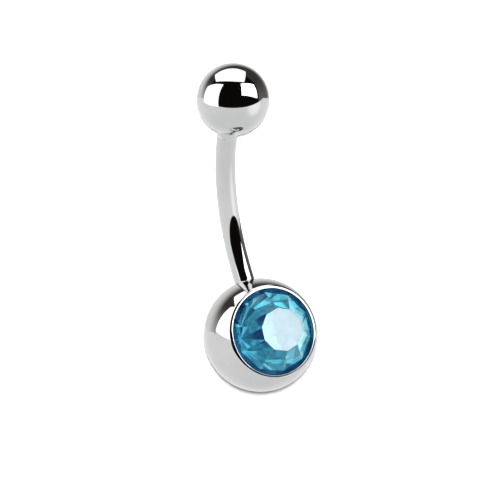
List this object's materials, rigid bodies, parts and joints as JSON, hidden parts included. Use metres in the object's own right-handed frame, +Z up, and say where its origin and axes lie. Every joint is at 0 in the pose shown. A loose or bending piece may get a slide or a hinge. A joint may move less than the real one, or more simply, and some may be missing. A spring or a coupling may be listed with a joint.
{
  "type": "navel ring",
  "caption": "Short curved barbell with a plain screw-on ball at one end and a larger ball set with a round faceted aqua crystal at the other.",
  "frame": {"origin": "centre of the bounding box at its lowest point, on the surface that the part lies on", "axes": "+Z up, +Y from the large ball towards the small ball, as the part lies on both balls and the bow of its bar; the crystal faces up and towards +X and +Y"},
  "size_m": [0.008, 0.024, 0.008],
  "materials": {
    "steel": "mirror-polished steel",
    "crystal": "cut aqua glass with a mirrored back"
  },
  "bodies": {
    "barbell": {"barbell": "steel", "crystal": "crystal"},
    "ball": {"top_ball": "steel"}
  },
  "joints": [
    {"name": "ball_unscrew", "type": "slide", "parent": "barbell", "child": "ball", "axis": [0.2273, 0.9169, 0.3279], "range_m": [0, 0.0036]}
  ]
}
